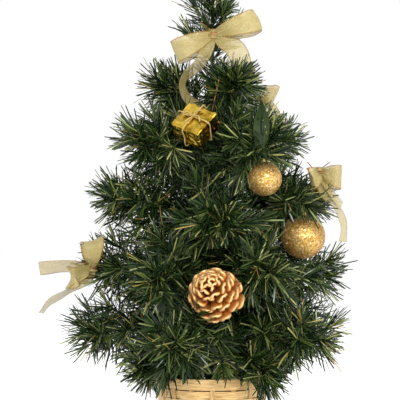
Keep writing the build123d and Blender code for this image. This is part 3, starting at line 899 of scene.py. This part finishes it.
def scale_mesh(length, width):
    """One cone scale, growing along +X and turned up at its rounded tip."""
    top, bottom, tones = [], [], []
    for at, share, rise in SCALE_OUTLINE:
        thick = 0.0010 + 0.0008 * at
        for side in (-1.0, -0.5, 0.0, 0.5, 1.0):
            ridge = 0.0006 if side == 0 and 0.7 < at < 0.95 else 0
            height = rise * length * 0.6 - side * side * 0.0016 * at + ridge
            top.append((at * length, side * share * width / 2, height + thick / 2))
            bottom.append((at * length, side * share * width / 2, height - thick / 2))
            # Tone rises to the tip and the edges: gold spray there, painted highlights on the rim and
            # painted shade towards the root.
            tones.append(min(1.0, 0.12 + 0.62 * at ** 2 + 0.30 * at ** 8 + 0.16 * side * side * at))
    rows, stride = len(SCALE_OUTLINE), 5
    faces = sheet_faces(rows, stride, flip=True)
    return np.array(top + bottom), faces, np.array(tones * 2)


def make_cone():
    """Scales in golden-angle order round the core, opened wide at the base."""
    low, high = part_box("cone_scales")
    core = solid_parts("cone_core")[0]
    axis = long_axis(core)
    axis = axis * np.sign(-axis[1])
    base = end_centre(core, -axis)
    axis = unit(axis + np.array(CONE_LEAN))
    length = np.ptp(core @ axis) * 1.02
    radius = (high.z - low.z) / 2
    side = unit(np.cross(axis, UP))
    over = np.cross(side, axis)
    pieces, tones = [], []
    rng = np.random.default_rng(5)
    for number in range(SCALE_COUNT):
        t = number / (SCALE_COUNT - 1)
        longest, width, inner = (first + change * t
                                 for first, change in (SCALE_LENGTH, SCALE_WIDTH, SCALE_ROOT))
        reach = radius * math.sqrt(1 - (0.95 * t) ** 2)
        closing = 100 * max(0.0, t - 0.80)
        opening = math.radians(5 + 58 * t ** 1.5 + closing + rng.normal(0, 4))
        size = min((reach - inner) / math.cos(opening), longest) * rng.uniform(0.94, 1.04)
        shape, faces, tone = scale_mesh(size, width * rng.uniform(0.92, 1.08))
        turn = number * GOLDEN_ANGLE
        outward = math.cos(turn) * side + math.sin(turn) * over
        sideways = np.cross(axis, outward)
        along = outward * math.cos(opening) + axis * math.sin(opening)
        upright = np.cross(along, sideways)
        root = base + axis * length * (0.10 + 0.72 * t) + outward * inner
        turned = root + shape[:, :1] * along + shape[:, 1:2] * sideways + shape[:, 2:] * upright
        pieces.append((turned, faces))
        tones.append(tone)
    make_object("cone_scales_gilded", *joined(pieces), "cone_gold", BODY_OF["cone_scales"], "cone_scales",
                attributes={"tone": np.concatenate(tones)})
    # The spine has no tone, so it takes the darkest, painted-shade end of the ramp.
    spine = tube([base, base + axis * length * 0.5, base + axis * length * 0.8], SPINE_RADIUS, 12)
    make_object("cone_core_spine", *spine, "cone_gold", BODY_OF["cone_core"], "cone_core")


# ---------------------------------------------------------------- gift box

def block_axes(node):
    """The three face directions of a block, the shallowest first and turned to the front."""
    mesh = frame["nodes"][node].data
    areas = {}
    for polygon in mesh.polygons:
        key = tuple(round(c, 2) for c in polygon.normal)
        areas[key] = areas.get(key, 0.0) + polygon.area
    chosen = []
    for key in sorted(areas, key=areas.get, reverse=True):
        normal = unit(np.array(key))
        if len(chosen) < 3 and all(abs(normal @ other) < 0.2 for other in chosen):
            chosen.append(normal)
    points = np.array([tuple(vertex.co) for vertex in mesh.vertices])
    chosen.sort(key=lambda axis: np.ptp(points @ axis))
    chosen[0] = chosen[0] * -np.sign(chosen[0][1])
    halves = [np.ptp(points @ axis) / 2 for axis in chosen]
    centre = sum(axis * (points @ axis).max() - axis * half for axis, half in zip(chosen, halves))
    return centre, chosen, halves


def make_foil(centre, axes, half):
    """Card box wrapped in creased foil."""
    work = bmesh.new()
    bmesh.ops.create_cube(work, size=2.0)
    bmesh.ops.subdivide_edges(work, edges=work.edges, cuts=FOIL_CUTS, use_grid_fill=True)
    rng = np.random.default_rng(21)
    creases = [(unit(rng.normal(0, 1, 3)), rng.uniform(-0.8, 0.8)) for _ in range(FOIL_CREASES)]
    vertices = []
    for vertex in work.verts:
        place = np.array(vertex.co)
        rounding = max(0.0, np.sort(np.abs(place))[1] - 0.86) * 0.35
        folds = [abs(((place @ way - at) * 2.2) % 1.0 - 0.5) for way, at in creases]
        crumple = sum(folds) / FOIL_CREASES - 0.25
        place = place * (1 - rounding) * (1 + crumple * 0.34)
        vertices.append(centre + sum(place[i] * half[i] * 0.97 * axes[i] for i in range(3)))
    faces = [tuple(vertex.index for vertex in face.verts) for face in work.faces]
    work.free()
    make_object("gift_box_foil", vertices, faces, "foil", BODY_OF["gift_box"], "gift_box", smooth=False)


def make_gift_cord(centre, axes, half):
    """Twisted cord tied round the box both ways, with a bow of two loops and two ends in front."""
    front, first, second = axes
    deep = half[0] + CORD_GAP
    corners = [(-1, -1), (0, -1.03), (1, -1), (1.03, 0), (1, 1), (0, 1.03), (-1, 1), (-1.03, 0), (-1, -1)]
    runs = []
    for way, reach in ((first, half[1]), (second, half[2])):
        wide = reach + CORD_GAP
        runs.append(smooth_path([centre + way * a * wide + front * b * deep for a, b in corners], 5))
    knot = centre + front * (half[0] + 0.0015)
    for sign in (-1, 1):
        across, down = sign * first, sign * second
        runs.append(smooth_path([knot, knot + across * 0.006 + front * 0.003,
                                 knot + across * 0.009 + second * 0.003, knot + across * 0.005, knot], 6))
        runs.append(smooth_path([knot, knot + down * 0.005 + front * 0.002,
                                 knot + down * 0.009 + across * 0.003], 5))
    cord = joined(tube(run, CORD_RADIUS, 8, CORD_TWIST, CORD_LOBES) for run in runs)
    make_object("gift_cord_twisted", *cord, "gold_cord", BODY_OF["gift_cord"], "gift_cord")


def make_gift_wire():
    """Copper wire from the twig to the box, with its curled ends."""
    wire = solid_parts("gift_wire")[0]
    axis = long_axis(wire)
    eye, twig = sorted((end_centre(wire, axis), end_centre(wire, -axis)), key=lambda end: end[2])
    runs = [(smooth_path([twig, (twig + eye) / 2 - FRONT * HANG_BOW, eye], 6), HANG_RADIUS)]
    for curl in WIRE_CURLS:
        end = np.array(curl) * MM
        runs.append((smooth_path([eye, eye + end * 0.6 + UP * 0.001, eye + end], 5), TIE_RADIUS))
    wires = joined(tube(path, radius) for path, radius in runs)
    make_object("gift_wire_bent", *wires, "tie_wire", BODY_OF["gift_wire"], "gift_wire")


def make_gift_box():
    block = block_axes("gift_box")
    make_foil(*block)
    make_gift_wire()
    make_gift_cord(*block)


# ---------------------------------------------------------------- leaf

def make_leaf():
    """Broad strip leaf, folded along its middle and split at its lower end."""
    points = solid_parts("leaf_pick")[0]
    along = long_axis(points)
    along = along * -np.sign(along[2])
    top, bottom = end_centre(points, -along), end_centre(points, along)
    side = unit(np.cross(along, FRONT))
    rng = np.random.default_rng(3)
    strips = []
    for shift, width, share in LEAF_BLADES:
        end = bottom * share + top * (1 - share) + side * shift
        middle = (top + end) / 2 + FRONT * (0.003 + abs(shift)) + side * shift * 0.6
        widths = [0.002, width, width * 0.55]
        strips.append(ribbon_strip([top, middle, end], [side] * 3, widths, rng, 10, 8, 0.0005))
    blades = joined(strip[:2] for strip in strips)
    make_object("leaf_pick_blade", *blades, "leaf", BODY_OF["leaf_pick"], "leaf_pick",
                attributes={"across": np.concatenate([strip[2] for strip in strips])})


# ---------------------------------------------------------------- carried-over nodes

def finish_cad_nodes():
    slots = {entry["node"]: entry["material_slot"] for entry in RECORD["subparts"]}
    for node, thing in frame["nodes"].items():
        if slots[node] in MATERIALS:
            material = "bamboo_upright" if node == "basket_stakes" else slots[node]
            thing.data.materials.clear()
            thing.data.materials.append(MATERIALS[material])


# ---------------------------------------------------------------- stage, light and camera


def make_stage():
    floor = bpy.data.meshes.new("floor")
    corners = [(FLOOR_REACH * x, FLOOR_REACH * y, 0) for x, y in ((-1, -1), (1, -1), (1, 1), (-1, 1))]
    floor.from_pydata(corners, [], [(0, 1, 2, 3)])
    plate = bpy.data.objects.new("floor", floor)
    bpy.context.scene.collection.objects.link(plate)
    net = Net("floor_white", Roughness=0.9, Emission_Color=(1, 1, 1, 1), Emission_Strength=0.12)
    net.use("Base Color", net.ramp(net.noise(4.0), [(0.4, (0.88, 0.88, 0.88)), (0.6, (0.91, 0.91, 0.91))]))
    floor.materials.append(net.material)
    world = bpy.data.worlds.new("studio")
    bpy.context.scene.world = world
    world.use_nodes = True
    world.node_tree.nodes["Background"].inputs["Color"].default_value = (1, 1, 1, 1)
    world.node_tree.nodes["Background"].inputs["Strength"].default_value = 1.0


def make_lights():
    """Area lights that face the middle of the tree."""
    for name, place, size, power in LIGHTS:
        light = bpy.data.lights.new(name, "AREA")
        light.size = size
        light.energy = power
        made = bpy.data.objects.new(name, light)
        made.location = place
        made.rotation_euler = (LIT_PLACE - Vector(place)).to_track_quat("-Z", "Y").to_euler()
        bpy.context.scene.collection.objects.link(made)


def make_camera():
    camera = bpy.data.cameras.new("camera")
    camera.sensor_width = 36.0
    camera.lens = camera.sensor_width * -CAMERA_PLACE.y / VIEW_WIDTH
    made = bpy.data.objects.new("camera", camera)
    made.location = CAMERA_PLACE
    made.rotation_euler = (math.pi / 2, 0, 0)
    bpy.context.scene.collection.objects.link(made)
    bpy.context.scene.camera = made
    bpy.context.scene.view_settings.view_transform = "Standard"


make_stage()
make_lights()
make_camera()
finish_cad_nodes()
make_branches()
make_leader()
make_trunk_needles()
make_bows()
make_ball("ball_upper", 41)
make_ball("ball_lower", 42)
make_cone()
make_gift_box()
make_leaf()
